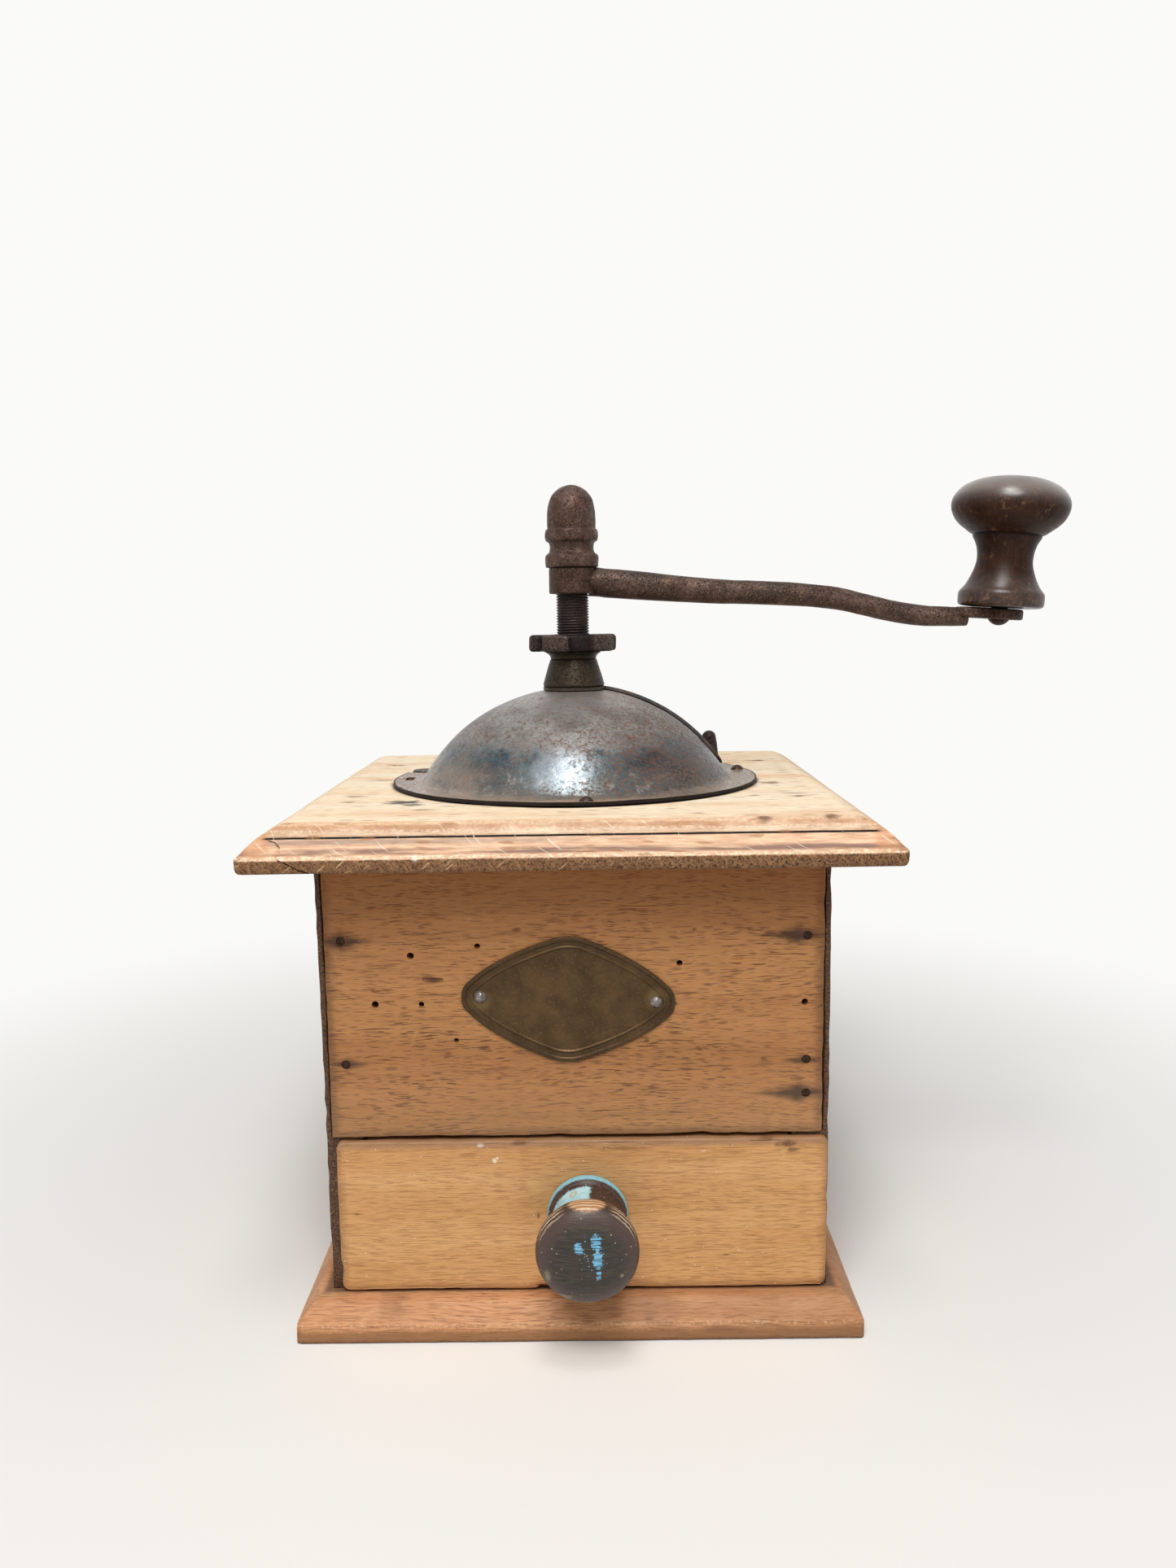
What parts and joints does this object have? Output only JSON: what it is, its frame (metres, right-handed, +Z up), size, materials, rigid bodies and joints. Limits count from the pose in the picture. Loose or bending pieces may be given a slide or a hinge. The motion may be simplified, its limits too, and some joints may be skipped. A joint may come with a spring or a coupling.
{
  "type": "coffee mill",
  "caption": "Wooden box coffee mill with a drawer, a domed iron hopper with a sliding shutter, and a crank with a turned knob that drives a cone burr.",
  "frame": {"origin": "middle of the base plate's underside, on the spindle's axis", "axes": "+Z up along the spindle, -Y towards the drawer and the badge, +X along the crank arm at rest"},
  "size_m": [0.2357, 0.1785, 0.2334],
  "materials": {
    "base_wood": "worn bare beech",
    "side_wood": "dark worn beech",
    "panel_wood": "waxed beech, worn",
    "top_wood": "bare beech, rubbed pale",
    "drawer_wood": "waxed beech",
    "pull_wood": "turned wood with remains of blue paint",
    "knob_wood": "dark polished turned wood",
    "badge_brass": "dark patina",
    "nail_iron": "rusted",
    "dome_iron": "dark sheet iron with worn blue-green paint and rust",
    "boss_iron": "dark bronze-brown, worn",
    "crank_iron": "forged, brown rust",
    "burr_iron": "plain casting"
  },
  "bodies": {
    "case": {"base_plate": "base_wood", "left_side": "side_wood", "right_side": "side_wood", "front_panel": "panel_wood", "back_panel": "side_wood", "top_board": "top_wood", "front_panel_nails": "nail_iron", "back_panel_nails": "nail_iron", "top_nails": "nail_iron", "base_nails": "nail_iron", "badge_plate": "badge_brass", "badge_nails": "nail_iron", "hopper_dome": "dome_iron", "flange_nails": "nail_iron", "flange_tack": "nail_iron", "boss": "boss_iron", "boss_ring": "boss_iron", "thrust_washer": "boss_iron", "outer_burr": "burr_iron", "burr_screws": "burr_iron", "lower_bridge": "burr_iron", "bridge_screws": "burr_iron"},
    "drawer": {"drawer_front": "drawer_wood", "drawer_left_side": "drawer_wood", "drawer_right_side": "drawer_wood", "drawer_back": "drawer_wood", "drawer_bottom": "drawer_wood", "drawer_nails": "nail_iron", "drawer_knob": "pull_wood", "drawer_knob_screw": "nail_iron"},
    "shutter": {"shutter": "dome_iron", "shutter_knob": "dome_iron"},
    "crank": {"spindle": "crank_iron", "crank_arm": "crank_iron", "acorn_nut": "crank_iron", "inner_burr": "burr_iron", "inner_burr_pin": "burr_iron", "knob_pin": "crank_iron"},
    "adjusting_nut": {"adjusting_nut": "crank_iron"},
    "crank_knob": {"crank_knob": "knob_wood"}
  },
  "joints": [
    {"name": "drawer_slide", "type": "slide", "parent": "case", "child": "drawer", "axis": [0, -1, 0], "range_m": [0, 0.1]},
    {"name": "shutter_swing", "type": "hinge", "parent": "case", "child": "shutter", "pos_m": [0, 0, 0.169], "axis": [0, 0, -1], "range_deg": [0, 88]},
    {"name": "crank_turn", "type": "hinge", "parent": "case", "child": "crank", "pos_m": [0, 0, 0.2], "axis": [0, 0, -1], "continuous": true},
    {"name": "nut_turn", "type": "hinge", "parent": "crank", "child": "adjusting_nut", "pos_m": [0, 0, 0.185], "axis": [0, 0, -1], "range_deg": [-540, 540]},
    {"name": "knob_spin", "type": "hinge", "parent": "crank", "child": "crank_knob", "pos_m": [0.132, 0, 0.19341], "axis": [0.0732, 0, 0.9973], "continuous": true}
  ]
}
